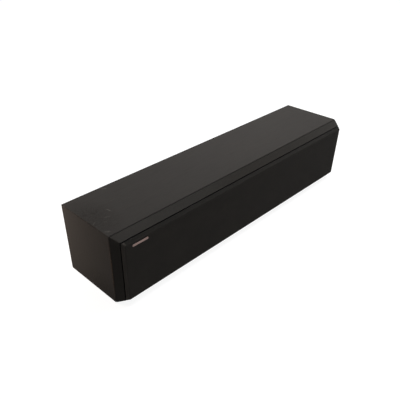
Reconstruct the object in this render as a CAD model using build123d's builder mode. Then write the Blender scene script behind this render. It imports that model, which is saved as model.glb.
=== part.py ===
from build123d import *
from math import atan, cos, sqrt
import os

os.makedirs("parts", exist_ok=True)

# A slim centre channel speaker. X runs along its width, Y from front to back, Z up.
# Millimetres, with Z = 0 on the shelf under the feet and Y = 0 half way through its depth.

# Cabinet
cabinet_width = 670
cabinet_height = 141
cabinet_depth = 133
panel_thickness = 12
panel_fit = 0.1
edge_radius = 1.2
edge_break = 0.7
back_thickness = 12
back_recess = 5
brace_thickness = 12
brace_rim = 26
brace_corner = 12
foot_height = 3
foot_radius = 9
foot_chamfer = 0.8
foot_inset = 45
foot_setback = 20

# Front baffle
bevel_depth = 16.2
bevel_inset = 9
tenon_depth = 6
seam_groove = 1.6
seam_groove_depth = 2

# Grille
shadow_gap = 1.8
grille_depth = 6
grille_corner = 2.4
cloth_thickness = 0.6
cloth_edge = 1.8
cloth_fit = 0.05
rim_width = 11
rib_width = 8
window_corner = 4
peg_radius = 3
peg_length = 8
peg_tip = 1
peg_inset = 7
peg_end_inset = 31
peg_clearance = 0.1
peg_collar_radius = 5.6
peg_stub_radius = 2.5
peg_stub_length = 3.5
peg_stub_fit = 0.05
seat_clearance = 0.2
cup_radius = 5
cup_length = 10.5
cup_flange_radius = 6.4
cup_flange = 0.8
cup_fit = 0.05

# Woofers
inner_woofer = 112
woofer_spacing = 110
flange_radius = 50
flange_thickness = 3
flange_fit = 0.4
gasket_thickness = 1
gasket_width = 5.4
lip_radius = 43
lip_seat = 1
basket_wall = 2
basket_fit = 0.6
basket_step = 17
basket_floor = 24
basket_floor_radius = 33
spider_seat_radius = 29.5
basket_windows = 4
window_angle = 62
window_front = 5.5
window_back = 14.5
cone_radius = 33.5
cone_rim = 2.5
cone_thickness = 0.8
cone_neck_depth = 12.5
cone_dome = 4.5
cone_sag = 1.4
neck_length = 3.2
surround_thickness = 0.75
glue_gap = 0.05
coil_radius = 10
former_wall = 0.3
former_length = 21
winding_wall = 0.55
winding_length = 9
spider_thickness = 0.6
spider_wave = 2
spider_waves = 3
top_plate_thickness = 4
top_plate_radius = 30
coil_gap = 0.35
magnet_thickness = 12
magnet_radius = 34
magnet_bore = 16
yoke_thickness = 4
yoke_radius = 30
pole_gap = 0.4
vent_radius = 3
tag_width = 9
tag_height = 8
tag_thickness = 4
tag_overlap = 1

# Screws
screw_radius = 1.6
screw_length = 15
screw_hole_fit = 0.15
head_radius = 3.2
head_height = 1.8
socket_size = 1.4
socket_depth = 1.1
woofer_screw_ring = 46.5
woofer_screws_each = 4

# Tweeter
tweeter_plate = 100
tweeter_plate_corner = 8
tweeter_plate_thickness = 4
tweeter_plate_fit = 0.4
tweeter_screw_spacing = 86
tweeter_cutout = 80
tweeter_cutout_corner = 16
horn_mouth = 74
horn_mouth_corner = 12
horn_mid = 40
horn_mid_corner = 15
horn_depth = 20
horn_wall = 2.4
throat_radius = 13.5
horn_flange_radius = 30
horn_flange = 2.5
dome_radius = 12.2
dome_height = 4
dome_wall = 0.4
dome_roll = 1.4
dome_lip = 20
dome_recess_fit = 0.4
dome_coil_length = 5
tweeter_front_plate = 3
tweeter_front_plate_radius = 27
tweeter_gap = 0.4
tweeter_magnet_radius = 27
tweeter_magnet_bore = 18
tweeter_magnet_thickness = 10
tweeter_yoke_radius = 25
tweeter_yoke_thickness = 4

# Terminal cup and binding posts
terminal_width = 100
terminal_height = 64
terminal_corner = 5
terminal_flange = 2.5
terminal_rim = 8
terminal_wall = 2.2
terminal_depth = 24
terminal_fit = 0.4
terminal_draft = 6
terminal_screw_inset = 4
terminal_screw_length = 11
post_spacing = 38
post_radius = 3.5
banana_radius = 2
banana_depth = 13
collar_radius = 6.5
collar_thickness = 3
post_end = 3
wire_hole_radius = 1.3
wire_hole_gap = 0.5
stud_length = 10
nut_width = 10
nut_thickness = 4
washer_radius = 6
washer_thickness = 1
cap_radius = 7
cap_length = 14
cap_edge = 0.8
cap_flutes = 12
flute_radius = 1
thread_clearance = 0.1
cap_lift = 0.1

# Ports
port_radius = 19
port_wall = 2
port_length = 72
port_flange_radius = 30
port_flange = 2.5
port_flare = 7
port_fit = 0.3
port_inset = 50

# Crossover
board_width = 124
board_height = 76
board_thickness = 1.6
board_corner = 3
standoff_height = 6
standoff_radius = 4
standoff_inset = 6
inductor_radius = 19
inductor_bore = 8
inductor_height = 18
inductor_flange = 1.5
inductor_groove = 3
capacitor_radius = 9
capacitor_length = 32
capacitor_edge = 1
resistor_length = 26
resistor_side = 9

# Wiring
wire_radius = 1.25
wire_bend = 5
wire_lane = 4
wire_lane_start = -8
wire_lane_drop = 21.5
wire_pad_pitch = 12
wire_pad_inset = 20
wire_pad_rise = 2
solder_gap = 0.05

# Damping pad
pad_thickness = 15
pad_gap = 16
pad_height = 90
pad_corner = 6

# Places worked out from the sizes above
overall_depth = cabinet_depth + bevel_depth + shadow_gap + grille_depth
cabinet_back = overall_depth / 2
seam = cabinet_back - cabinet_depth
baffle_front = seam - bevel_depth
grille_back = baffle_front - shadow_gap
middle_height = foot_height + cabinet_height / 2
opening_width = cabinet_width - 2 * panel_thickness
opening_height = cabinet_height - 2 * panel_thickness
back_face = cabinet_back - back_recess
back_inside = back_face - back_thickness
tenon_back = seam + tenon_depth
taper = bevel_inset / bevel_depth
woofer_places = [
    -inner_woofer - woofer_spacing,
    -inner_woofer,
    inner_woofer,
    inner_woofer + woofer_spacing,
]
screw_hole_radius = screw_radius + screw_hole_fit


def front_plane(y, x=0, z=middle_height):
    # A sketch plane that looks at the front: X to the right, Z up, normal towards the listener
    return Plane(origin=(x, y, z), x_dir=(1, 0, 0), z_dir=(0, -1, 0))


def rear_plane(y, x=0, z=middle_height):
    # The same place seen from behind, with its normal pointing away from the listener
    return Plane(origin=(x, y, z), x_dir=(-1, 0, 0), z_dir=(0, 1, 0))


def profile_plane(x, y=baffle_front, z=middle_height):
    # A plane through a driver's axis: first coordinate is the radius, second the depth behind y
    return Plane(origin=(x, y, z), x_dir=(1, 0, 0), z_dir=(0, 0, 1))


def depth_axis(x, z=middle_height):
    return Axis((x, 0, z), (0, 1, 0))


def save(piece, name):
    piece.part.label = name
    export_step(piece.part, f"parts/{name}.step")


def turned_ring(x, inner, outer, front, back, y=baffle_front, z=middle_height):
    # A plain ring round a depth axis, added to the part in hand
    with BuildSketch(profile_plane(x, y, z)) as section:
        with BuildLine():
            Polyline((inner, front), (outer, front), (outer, back), (inner, back), close=True)
        make_face()
    revolve(section.sketch, axis=depth_axis(x, z))


def add_screw(plane, length):
    # Pan-head screw seated on a plane, with a hexagon socket in its head
    with BuildSketch(plane) as head:
        Circle(head_radius)
    extrude(head.sketch, amount=head_height)
    with BuildSketch(plane) as shank:
        Circle(screw_radius)
    extrude(shank.sketch, amount=-length)
    with BuildSketch(plane.offset(head_height)) as socket:
        RegularPolygon(socket_size, 6)
    extrude(socket.sketch, amount=-socket_depth, mode=Mode.SUBTRACT)


# Cabinet walls, mitred where they meet, with a small round along every corner


def wall(name, half_length, half_span, length_direction):
    plane = Plane(
        origin=(0, cabinet_back, middle_height), x_dir=length_direction, z_dir=(0, -1, 0)
    )
    flat = half_length - edge_radius
    inner = (half_length - panel_thickness, half_span - panel_thickness)
    with BuildPart() as panel:
        with BuildSketch(plane):
            with BuildLine():
                Line((-flat, half_span), (flat, half_span))
                right = CenterArc((flat, half_span - edge_radius), edge_radius, 45, 45)
                left = CenterArc((-flat, half_span - edge_radius), edge_radius, 90, 45)
                Polyline(right @ 0, inner, (-inner[0], inner[1]), left @ 1)
            make_face()
        extrude(amount=cabinet_depth)
        outer_face = panel.faces().sort_by(Axis((0, 0, 0), plane.y_dir))[-1]
        chamfer(outer_face.edges().filter_by(Axis((0, 0, 0), plane.x_dir)), edge_break)
    save(panel, name)


wall("top_panel", cabinet_width / 2, cabinet_height / 2, (1, 0, 0))
wall("bottom_panel", cabinet_width / 2, cabinet_height / 2, (-1, 0, 0))
wall("right_side_panel", cabinet_height / 2, cabinet_width / 2, (0, 0, -1))
wall("left_side_panel", cabinet_height / 2, cabinet_width / 2, (0, 0, 1))

# Back panel, set inside the walls, with holes for the terminal cup and the ports

terminal_cut_width = terminal_width - 2 * terminal_rim + 2 * terminal_fit
terminal_cut_height = terminal_height - 2 * terminal_rim + 2 * terminal_fit
terminal_screw_x = terminal_width - 2 * terminal_screw_inset
terminal_screw_z = terminal_height - 2 * terminal_screw_inset
port_x = cabinet_width / 2 - port_inset
port_places = [(-port_x, 0), (port_x, 0)]

with BuildPart() as back_panel:
    with BuildSketch(rear_plane(back_face)):
        Rectangle(opening_width - 2 * panel_fit, opening_height - 2 * panel_fit)
        RectangleRounded(
            terminal_cut_width, terminal_cut_height, terminal_corner, mode=Mode.SUBTRACT
        )
        with Locations(port_places):
            Circle(port_radius + port_wall + port_fit, mode=Mode.SUBTRACT)
    extrude(amount=-back_thickness)
    with BuildSketch(rear_plane(back_face)):
        with GridLocations(terminal_screw_x, terminal_screw_z, 2, 2):
            Circle(screw_hole_radius)
    extrude(amount=-terminal_screw_length, mode=Mode.SUBTRACT)
save(back_panel, "back_panel")

# Window braces between the tweeter and the inner woofers, from baffle to back panel

brace_x = (tweeter_plate / 2 + inner_woofer - flange_radius) / 2
brace_front = tenon_back + panel_fit
brace_depth = back_inside - panel_fit - brace_front
brace_height = opening_height - 2 * panel_fit

for side, x in (("left", -brace_x), ("right", brace_x)):
    middle = (x - brace_thickness / 2, brace_front + brace_depth / 2, middle_height)
    with BuildPart() as brace:
        with BuildSketch(Plane(origin=middle, x_dir=(0, 1, 0), z_dir=(1, 0, 0))):
            Rectangle(brace_depth, brace_height)
            RectangleRounded(
                brace_depth - 2 * brace_rim,
                brace_height - 2 * brace_rim,
                brace_corner,
                mode=Mode.SUBTRACT,
            )
        extrude(amount=brace_thickness)
    save(brace, f"{side}_brace")

# Front baffle: bevelled block with a tenon inside the walls, driver cut-outs and cup holes

recess_depth = flange_thickness + gasket_thickness
basket_hole = lip_radius + basket_fit
peg_x = cabinet_width / 2 - peg_end_inset
peg_inner_x = inner_woofer + woofer_spacing / 2
peg_z = cabinet_height / 2 - bevel_inset - shadow_gap * taper - peg_inset
peg_places = [
    (x, z) for x in (-peg_x, -peg_inner_x, peg_inner_x, peg_x) for z in (-peg_z, peg_z)
]


def bevelled_outline(y, inset, corner):
    # The front's outline at a depth, set in from the cabinet's sides all round
    with BuildSketch(front_plane(y)) as outline:
        RectangleRounded(cabinet_width - 2 * inset, cabinet_height - 2 * inset, corner)
    return outline.sketch


with BuildPart() as front_baffle:
    seam_outline = bevelled_outline(seam, 0, edge_radius)
    loft([seam_outline, bevelled_outline(baffle_front, bevel_inset, edge_radius)], ruled=True)
    with BuildSketch(front_plane(seam)):
        Rectangle(cabinet_width, cabinet_height)
        Rectangle(
            cabinet_width - 2 * seam_groove_depth,
            cabinet_height - 2 * seam_groove_depth,
            mode=Mode.SUBTRACT,
        )
    extrude(amount=seam_groove, mode=Mode.SUBTRACT)
    with BuildSketch(front_plane(seam)):
        Rectangle(opening_width - 2 * panel_fit, opening_height - 2 * panel_fit)
    extrude(amount=-tenon_depth)
    with BuildSketch(front_plane(baffle_front)):
        with Locations([(x, 0) for x in woofer_places]):
            Circle(flange_radius + flange_fit)
    extrude(amount=-recess_depth, mode=Mode.SUBTRACT)
    with BuildSketch(front_plane(baffle_front)):
        with Locations([(x, 0) for x in woofer_places]):
            Circle(basket_hole)
        RectangleRounded(tweeter_cutout, tweeter_cutout, tweeter_cutout_corner)
    extrude(amount=-(bevel_depth + tenon_depth), mode=Mode.SUBTRACT)
    with BuildSketch(front_plane(baffle_front)):
        plate_recess = tweeter_plate + 2 * tweeter_plate_fit
        RectangleRounded(plate_recess, plate_recess, tweeter_plate_corner)
    extrude(amount=-tweeter_plate_thickness, mode=Mode.SUBTRACT)
    with BuildSketch(front_plane(baffle_front)):
        for x in woofer_places:
            with Locations((x, 0)):
                with PolarLocations(woofer_screw_ring, woofer_screws_each, start_angle=45):
                    Circle(screw_hole_radius)
        with GridLocations(tweeter_screw_spacing, tweeter_screw_spacing, 2, 2):
            Circle(screw_hole_radius)
    extrude(amount=-(screw_length + screw_hole_fit), mode=Mode.SUBTRACT)
    with BuildSketch(front_plane(baffle_front)):
        with Locations(peg_places):
            Circle(cup_radius + cup_fit)
    extrude(amount=-(cup_length + cup_fit), mode=Mode.SUBTRACT)
save(front_baffle, "front_baffle")

# Rubber cups in the baffle that grip the grille's pegs

with BuildPart() as grille_cups:
    with BuildSketch(front_plane(baffle_front)):
        with Locations(peg_places):
            Circle(cup_radius)
    extrude(amount=-cup_length)
    with BuildSketch(front_plane(baffle_front)):
        with Locations(peg_places):
            Circle(cup_flange_radius)
    extrude(amount=cup_flange)
    with BuildSketch(front_plane(baffle_front - cup_flange)):
        with Locations(peg_places):
            Circle(peg_radius + peg_clearance)
    extrude(amount=-(peg_length + cup_flange), mode=Mode.SUBTRACT)
save(grille_cups, "grille_cups")

# Grille frame: one moulding with a tapered rim, ribs between the drivers and peg holes

grille_back_inset = bevel_inset + shadow_gap * taper
cloth_inside_inset = grille_back_inset + cloth_thickness / cos(atan(taper))
frame_depth = grille_depth - cloth_thickness - cloth_fit
frame_back_inset = cloth_inside_inset + cloth_fit
rib_places = [
    (tweeter_plate / 2 + inner_woofer - flange_radius) / 2,
    inner_woofer + woofer_spacing / 2,
]
window_end = cabinet_width / 2 - frame_back_inset - rim_width
window_height = cabinet_height - 2 * (frame_back_inset + rim_width)
window_sides = (
    [-window_end - rib_width / 2]
    + [-x for x in reversed(rib_places)]
    + rib_places
    + [window_end + rib_width / 2]
)


def tapered_block(back_inset, depth, edge):
    # A solid whose sides carry on the baffle's bevel, rounded along its front edges
    back_outline = bevelled_outline(grille_back, back_inset, grille_corner)
    front_inset = back_inset + depth * taper
    front_outline = bevelled_outline(grille_back - depth, front_inset, grille_corner)
    with BuildPart() as block:
        loft([back_outline, front_outline], ruled=True)
        fillet(block.faces().sort_by(Axis.Y)[0].edges(), edge)
    return block.part


frame_block = tapered_block(frame_back_inset, frame_depth, cloth_edge - cloth_thickness)

with BuildPart() as grille_frame:
    add(frame_block)
    with BuildSketch(front_plane(grille_back)):
        for left, right in zip(window_sides, window_sides[1:]):
            with Locations(((left + right) / 2, 0)):
                RectangleRounded(right - left - rib_width, window_height, window_corner)
    extrude(amount=frame_depth, mode=Mode.SUBTRACT)
    with BuildSketch(front_plane(grille_back)):
        with Locations(peg_places):
            Circle(peg_stub_radius + peg_stub_fit)
    extrude(amount=peg_stub_length + peg_stub_fit, mode=Mode.SUBTRACT)
save(grille_frame, "grille_frame")

# Pegs pressed into the frame, each with a collar that stops on its cup

with BuildPart() as grille_pegs:
    with BuildSketch(front_plane(grille_back)):
        with Locations(peg_places):
            Circle(peg_stub_radius)
    extrude(amount=peg_stub_length)
    with BuildSketch(front_plane(grille_back)):
        with Locations(peg_places):
            Circle(peg_collar_radius)
    extrude(amount=-(shadow_gap - cup_flange - seat_clearance))
    with BuildSketch(front_plane(grille_back)):
        with Locations(peg_places):
            Circle(peg_radius)
    extrude(amount=-(shadow_gap + peg_length - seat_clearance))
    chamfer(grille_pegs.faces().group_by(Axis.Y)[-1].edges(), peg_tip)
save(grille_pegs, "grille_pegs")

# Grille cloth, stretched over the front and down the tapered sides of the frame

cloth_outside = tapered_block(grille_back_inset, grille_depth, cloth_edge)
cloth_inside = tapered_block(
    cloth_inside_inset, grille_depth - cloth_thickness, cloth_edge - cloth_thickness
)

with BuildPart() as grille_cloth:
    add(cloth_outside)
    add(cloth_inside, mode=Mode.SUBTRACT)
save(grille_cloth, "grille_cloth")

# Woofers: four alike, each on its own axis, with depths counted from the baffle's front

floor_back = basket_floor + basket_wall
coil_outer = coil_radius + former_wall
winding_outer = coil_outer + winding_wall
top_plate_bore = winding_outer + coil_gap
magnet_front = floor_back + top_plate_thickness
magnet_back = magnet_front + magnet_thickness
yoke_back = magnet_back + yoke_thickness
pole_radius = coil_radius - pole_gap
seat_inner = cone_radius + 2 * (lip_radius - cone_radius) / 3
spider_outer = basket_floor_radius - basket_wall / 2
tag_back = baffle_front + basket_floor + tag_overlap
tag_z = middle_height - basket_floor_radius + tag_overlap - tag_height / 2


def woofer_basket(x, name):
    wall_front = flange_thickness + gasket_thickness
    step_outer = basket_floor_radius + basket_wall
    with BuildPart() as basket:
        with BuildSketch(profile_plane(x)):
            with BuildLine():
                Polyline(
                    (lip_radius, 0),
                    (flange_radius, 0),
                    (flange_radius, flange_thickness),
                    (lip_radius, flange_thickness),
                    (lip_radius - basket_wall / 2, wall_front),
                    (step_outer, basket_step),
                    (basket_floor_radius, basket_floor),
                    (basket_floor_radius, floor_back),
                    (top_plate_bore + basket_wall, floor_back),
                    (top_plate_bore + basket_wall, basket_floor),
                    (spider_seat_radius, basket_floor),
                    (spider_seat_radius, basket_step),
                    (step_outer - basket_wall, basket_step),
                    (seat_inner, wall_front),
                    (seat_inner, lip_seat),
                    (lip_radius, lip_seat),
                    close=True,
                )
            make_face()
        revolve(axis=depth_axis(x))
        for turn in range(basket_windows):
            start = turn * 360 / basket_windows - window_angle / 2
            with BuildSketch(profile_plane(x).rotated((0, start, 0))):
                with BuildLine():
                    Polyline(
                        (spider_seat_radius, window_front),
                        (flange_radius, window_front),
                        (flange_radius, window_back),
                        (spider_seat_radius, window_back),
                        close=True,
                    )
                make_face()
            revolve(axis=depth_axis(x), revolution_arc=window_angle, mode=Mode.SUBTRACT)
        with BuildSketch(front_plane(baffle_front, x)):
            with PolarLocations(woofer_screw_ring, woofer_screws_each, start_angle=45):
                Circle(screw_hole_radius)
        extrude(amount=-flange_thickness, mode=Mode.SUBTRACT)
        with BuildSketch(front_plane(tag_back, x, tag_z)):
            Rectangle(tag_width, tag_height)
        extrude(amount=tag_thickness)
    save(basket, name)


def woofer_surround(x, name):
    # Half roll of rubber between a lip on the basket and a lip on the cone
    back = lip_seat - glue_gap
    front = back - surround_thickness
    centre = (cone_radius + seat_inner) / 2
    roll = (seat_inner - cone_radius) / 2
    inner_roll = roll - surround_thickness
    reach = sqrt(roll**2 - surround_thickness**2)
    inner_lip = cone_radius - cone_rim
    outer_lip = lip_radius - glue_gap
    with BuildPart() as surround:
        with BuildSketch(profile_plane(x)):
            with BuildLine():
                Polyline((centre - reach, front), (inner_lip, front), (inner_lip, back),
                         (centre - inner_roll, back))
                ThreePointArc((centre - inner_roll, back), (centre, back - inner_roll),
                              (centre + inner_roll, back))
                Polyline((centre + inner_roll, back), (outer_lip, back), (outer_lip, front),
                         (centre + reach, front))
                ThreePointArc((centre + reach, front), (centre, back - roll),
                              (centre - reach, front))
            make_face()
        revolve(axis=depth_axis(x))
    save(surround, name)


def woofer_cone(x, name):
    # One-piece cone with a domed centre, and a neck that takes the voice coil former
    rim_inner = cone_radius - cone_rim
    neck_inner = coil_outer + glue_gap
    neck_outer = neck_inner + cone_thickness
    neck_back = cone_neck_depth + neck_length
    rim_back = lip_seat + cone_thickness
    body_back = cone_neck_depth + cone_thickness
    body_middle = (rim_inner + neck_outer) / 2
    body_depth = (lip_seat + cone_neck_depth) / 2 - cone_sag
    dome_front = cone_neck_depth - cone_dome
    with BuildPart() as cone:
        with BuildSketch(profile_plane(x)):
            with BuildLine():
                Polyline((rim_inner, lip_seat), (cone_radius, lip_seat), (cone_radius, rim_back),
                         (rim_inner, rim_back))
                ThreePointArc((rim_inner, rim_back), (body_middle, body_depth + cone_thickness),
                              (neck_outer, body_back))
                Polyline((neck_outer, body_back), (neck_outer, neck_back),
                         (neck_inner, neck_back), (neck_inner, body_back))
                TangentArc((0, dome_front + cone_thickness), (neck_inner, body_back),
                           tangent=(1, 0))
                Line((0, dome_front + cone_thickness), (0, dome_front))
                TangentArc((0, dome_front), (neck_outer, cone_neck_depth), tangent=(1, 0))
                ThreePointArc((neck_outer, cone_neck_depth), (body_middle, body_depth),
                              (rim_inner, lip_seat))
            make_face()
        revolve(axis=depth_axis(x))
    save(cone, name)


def woofer_spider(x, name):
    # Corrugated disc that centres the coil, from the former out to the basket's step
    seat = basket_step - glue_gap
    inner = coil_outer + glue_gap
    run = (spider_seat_radius - inner) / (2 * spider_waves + 1)
    crests = [
        (inner + run * (k + 1), seat + (spider_wave / 2 if k % 2 else -spider_wave / 2))
        for k in range(2 * spider_waves)
    ]
    front = [(inner, seat + spider_wave / 2)] + crests
    front += [(spider_seat_radius, seat), (spider_outer, seat)]
    lifted = [(radius, depth - spider_thickness) for radius, depth in front]
    with BuildPart() as spider:
        with BuildSketch(profile_plane(x)):
            with BuildLine():
                Polyline(*lifted, *reversed(front), close=True)
            make_face()
        revolve(axis=depth_axis(x))
    save(spider, name)


def woofer_voice_coil(x, name):
    # Thin former with the winding on its rear end, hanging in the magnet's gap
    start = cone_neck_depth + 2 * cone_thickness
    end = start + former_length
    with BuildPart() as voice_coil:
        turned_ring(x, coil_radius, coil_outer, start, end)
        turned_ring(x, coil_radius, winding_outer, end - winding_length, end)
    save(voice_coil, name)


for number, x in enumerate(woofer_places, 1):
    woofer_basket(x, f"woofer_{number}_basket")
    woofer_surround(x, f"woofer_{number}_surround")
    woofer_cone(x, f"woofer_{number}_cone")
    woofer_spider(x, f"woofer_{number}_spider")
    woofer_voice_coil(x, f"woofer_{number}_voice_coil")

with BuildPart() as woofer_gaskets:
    for x in woofer_places:
        turned_ring(x, flange_radius - gasket_width, flange_radius, flange_thickness, recess_depth)
        with BuildSketch(front_plane(baffle_front, x)):
            with PolarLocations(woofer_screw_ring, woofer_screws_each, start_angle=45):
                Circle(screw_hole_radius)
        extrude(amount=-recess_depth, mode=Mode.SUBTRACT)
save(woofer_gaskets, "woofer_gaskets")

with BuildPart() as woofer_top_plates:
    for x in woofer_places:
        turned_ring(x, top_plate_bore, top_plate_radius, floor_back, magnet_front)
save(woofer_top_plates, "woofer_top_plates")

with BuildPart() as woofer_magnets:
    for x in woofer_places:
        turned_ring(x, magnet_bore, magnet_radius, magnet_front, magnet_back)
save(woofer_magnets, "woofer_magnets")

with BuildPart() as woofer_yokes:
    for x in woofer_places:
        turned_ring(x, vent_radius, yoke_radius, magnet_back, yoke_back)
        turned_ring(x, vent_radius, pole_radius, floor_back, yoke_back)
save(woofer_yokes, "woofer_yokes")

# Tweeter: a square waveguide that narrows to a round throat, with a dome and motor behind it

throat_back = horn_depth + horn_flange
dome_roll_outer = dome_radius + dome_wall + 2 * dome_roll
plate_back = throat_back + dome_wall + tweeter_front_plate
tweeter_magnet_back = plate_back + tweeter_magnet_thickness
tweeter_yoke_back = tweeter_magnet_back + tweeter_yoke_thickness
dome_pole = dome_radius - tweeter_gap
tweeter_plate_bore = dome_radius + dome_wall + tweeter_gap


def horn_loft(wall, mode):
    # Square mouth to round throat through one middle section, which gives the flare
    mouth_side = horn_mouth + 2 * wall
    middle_side = horn_mid + 2 * wall
    with BuildSketch(front_plane(baffle_front)) as mouth:
        RectangleRounded(mouth_side, mouth_side, horn_mouth_corner + wall)
    with BuildSketch(front_plane(baffle_front + horn_depth / 2)) as middle:
        RectangleRounded(middle_side, middle_side, horn_mid_corner + wall)
    with BuildSketch(front_plane(baffle_front + horn_depth)) as throat:
        Circle(throat_radius + wall)
    loft([mouth.sketch, middle.sketch, throat.sketch], mode=mode)


with BuildPart() as tweeter_waveguide:
    horn_loft(horn_wall, Mode.ADD)
    with BuildSketch(front_plane(baffle_front)):
        RectangleRounded(tweeter_plate, tweeter_plate, tweeter_plate_corner - tweeter_plate_fit)
    extrude(amount=-tweeter_plate_thickness)
    with BuildSketch(front_plane(baffle_front + horn_depth)):
        Circle(horn_flange_radius)
    extrude(amount=-horn_flange)
    horn_loft(0, Mode.SUBTRACT)
    with BuildSketch(front_plane(baffle_front + horn_depth)):
        Circle(throat_radius)
    extrude(amount=-horn_flange, mode=Mode.SUBTRACT)
    with BuildSketch(front_plane(baffle_front + throat_back)):
        Circle(dome_roll_outer + dome_recess_fit)
    extrude(amount=dome_roll + dome_recess_fit, mode=Mode.SUBTRACT)
    with BuildSketch(front_plane(baffle_front)):
        with GridLocations(tweeter_screw_spacing, tweeter_screw_spacing, 2, 2):
            Circle(screw_hole_radius)
    extrude(amount=-tweeter_plate_thickness, mode=Mode.SUBTRACT)
save(tweeter_waveguide, "tweeter_waveguide")

with BuildPart() as tweeter_dome:
    lip_front = throat_back
    lip_back = throat_back + dome_wall
    roll_middle = dome_radius + dome_wall + dome_roll
    with BuildSketch(profile_plane(0)):
        with BuildLine():
            Line((0, lip_front - dome_height), (0, lip_back - dome_height))
            TangentArc((0, lip_back - dome_height), (dome_radius, lip_back), tangent=(1, 0))
            Polyline((dome_radius, lip_back), (dome_radius, lip_back + dome_coil_length),
                     (dome_radius + dome_wall, lip_back + dome_coil_length),
                     (dome_radius + dome_wall, lip_back))
            ThreePointArc((dome_radius + dome_wall, lip_back),
                          (roll_middle, lip_back - dome_roll + dome_wall),
                          (dome_roll_outer - dome_wall, lip_back))
            Polyline((dome_roll_outer - dome_wall, lip_back), (dome_lip, lip_back),
                     (dome_lip, lip_front), (dome_roll_outer, lip_front))
            ThreePointArc((dome_roll_outer, lip_front), (roll_middle, lip_front - dome_roll),
                          (dome_radius + dome_wall / 2, lip_front))
            TangentArc((0, lip_front - dome_height), (dome_radius + dome_wall / 2, lip_front),
                       tangent=(1, 0))
        make_face()
    revolve(axis=depth_axis(0))
save(tweeter_dome, "tweeter_dome")

with BuildPart() as tweeter_front:
    turned_ring(0, tweeter_plate_bore, tweeter_front_plate_radius,
                throat_back + dome_wall, plate_back)
save(tweeter_front, "tweeter_front_plate")

with BuildPart() as tweeter_magnet:
    turned_ring(0, tweeter_magnet_bore, tweeter_magnet_radius, plate_back, tweeter_magnet_back)
save(tweeter_magnet, "tweeter_magnet")

with BuildPart() as tweeter_yoke:
    with BuildSketch(front_plane(baffle_front + tweeter_yoke_back)):
        Circle(tweeter_yoke_radius)
    extrude(amount=tweeter_yoke_thickness)
    with BuildSketch(front_plane(baffle_front + tweeter_magnet_back)):
        Circle(dome_pole)
    extrude(amount=tweeter_magnet_thickness + tweeter_front_plate)
save(tweeter_yoke, "tweeter_yoke")

# Screws that hold the four woofers and the tweeter to the baffle, all alike

woofer_ring = PolarLocations(woofer_screw_ring, woofer_screws_each, start_angle=45)
tweeter_grid = GridLocations(tweeter_screw_spacing, tweeter_screw_spacing, 2, 2)
screw_places = [
    (x + spot.position.X, spot.position.Y) for x in woofer_places for spot in woofer_ring
]
screw_places += [(spot.position.X, spot.position.Y) for spot in tweeter_grid]

with BuildPart() as driver_screws:
    for x, z in screw_places:
        add_screw(front_plane(baffle_front, x, middle_height + z), screw_length)
save(driver_screws, "driver_screws")

# Terminal cup, let into the back panel, with a binding post for each pole

cup_face = back_face + terminal_flange
cup_floor = cup_face - terminal_depth
cup_inside_width = terminal_width - 2 * (terminal_rim + terminal_wall)
cup_inside_height = terminal_height - 2 * (terminal_rim + terminal_wall)
post_hole_radius = post_radius + thread_clearance
collar_back = cup_floor + collar_thickness
post_tip = cup_face - post_end
post_places = [("red", -post_spacing / 2), ("black", post_spacing / 2)]

with BuildPart() as terminal_cup:
    with BuildSketch(rear_plane(back_face)):
        RectangleRounded(terminal_width, terminal_height, terminal_corner)
    extrude(amount=terminal_flange)
    fillet(terminal_cup.faces().sort_by(Axis.Y)[-1].edges(), terminal_flange / 3)
    with BuildSketch(rear_plane(back_face)):
        RectangleRounded(
            cup_inside_width + 2 * terminal_wall,
            cup_inside_height + 2 * terminal_wall,
            terminal_corner - terminal_fit,
        )
    extrude(amount=-(terminal_depth - terminal_flange + terminal_wall))
    with BuildSketch(rear_plane(cup_face)):
        RectangleRounded(cup_inside_width, cup_inside_height, terminal_corner - terminal_fit)
    extrude(amount=-terminal_depth, taper=terminal_draft, mode=Mode.SUBTRACT)
    with BuildSketch(rear_plane(cup_floor)):
        with Locations([(-x, 0) for _, x in post_places]):
            Circle(post_hole_radius)
    extrude(amount=-terminal_wall, mode=Mode.SUBTRACT)
    with BuildSketch(rear_plane(cup_face)):
        with GridLocations(terminal_screw_x, terminal_screw_z, 2, 2):
            Circle(screw_hole_radius)
    extrude(amount=-terminal_flange, mode=Mode.SUBTRACT)
save(terminal_cup, "terminal_cup")

with BuildPart() as terminal_screws:
    for x in (-terminal_screw_x / 2, terminal_screw_x / 2):
        for z in (-terminal_screw_z / 2, terminal_screw_z / 2):
            add_screw(rear_plane(cup_face, x, middle_height + z), terminal_screw_length)
save(terminal_screws, "terminal_screws")


def binding_post(x, name):
    # Threaded stud with a seat collar, a nut behind the cup, a wire hole and a socket in its end
    with BuildPart() as post:
        with BuildSketch(rear_plane(cup_floor - terminal_wall - stud_length, x)):
            Circle(post_radius)
        extrude(amount=stud_length + terminal_wall + post_tip - cup_floor)
        with BuildSketch(rear_plane(cup_floor, x)):
            Circle(collar_radius)
        extrude(amount=collar_thickness)
        with BuildSketch(rear_plane(cup_floor - terminal_wall, x)):
            RegularPolygon(nut_width / 2, 6, major_radius=False)
        extrude(amount=-nut_thickness)
        with BuildSketch(rear_plane(post_tip, x)):
            Circle(banana_radius)
        extrude(amount=-banana_depth, mode=Mode.SUBTRACT)
        wire_hole_y = collar_back + wire_hole_gap + wire_hole_radius
        with BuildSketch(Plane((x, wire_hole_y, middle_height))):
            Circle(wire_hole_radius)
        extrude(amount=collar_radius, both=True, mode=Mode.SUBTRACT)
    save(post, name)


def clamp_washer(x, name):
    # Plain washer that is held under the cap and presses the wire on the collar
    with BuildPart() as washer:
        turned_ring(x, post_hole_radius, washer_radius, washer_front, washer_back, y=0)
    save(washer, name)


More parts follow.
